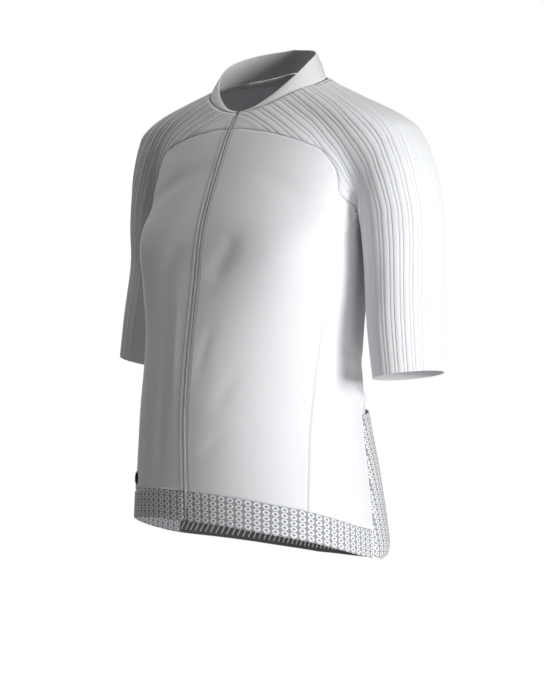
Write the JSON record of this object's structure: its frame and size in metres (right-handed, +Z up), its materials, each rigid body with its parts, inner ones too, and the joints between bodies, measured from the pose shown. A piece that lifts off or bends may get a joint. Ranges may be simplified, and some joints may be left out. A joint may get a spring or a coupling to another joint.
{
  "type": "cycling jersey",
  "caption": "Race-fit cycling jersey with ribbed short raglan sleeves, a full front zip, a stand collar and back pockets, standing open as if worn.",
  "frame": {"origin": "middle of the neck seam, level with the shoulders' neck points", "axes": "+Z up, the chest faces -Y, the wearer's left is +X"},
  "size_m": [0.539, 0.3207, 0.7333],
  "materials": {
    "smooth_cloth": "matt white knit with fine upright ribs",
    "rib_cloth": "matt white knit with broad raised ribs",
    "collar_cloth": "doubled smooth white knit",
    "mesh_cloth": "white knit embossed with small rings",
    "tape_cloth": "woven tape",
    "gripper_cloth": "dark elastic tape with pale silicone strokes",
    "zip_plastic": "moulded teeth",
    "badge_plastic": "smooth dark dome"
  },
  "bodies": {
    "root": {"front_left": "smooth_cloth", "front_right": "smooth_cloth", "side_left": "smooth_cloth", "side_right": "smooth_cloth", "back": "smooth_cloth", "sleeve_left": "rib_cloth", "sleeve_right": "rib_cloth", "collar": "collar_cloth", "neck_tape": "tape_cloth", "zip_chain": "zip_plastic", "zip_tape_left": "tape_cloth", "zip_tape_right": "tape_cloth", "hem_band_left": "mesh_cloth", "hem_band_right": "mesh_cloth", "back_gripper": "gripper_cloth", "pocket_panel": "mesh_cloth", "badge": "badge_plastic"}
  },
  "joints": []
}
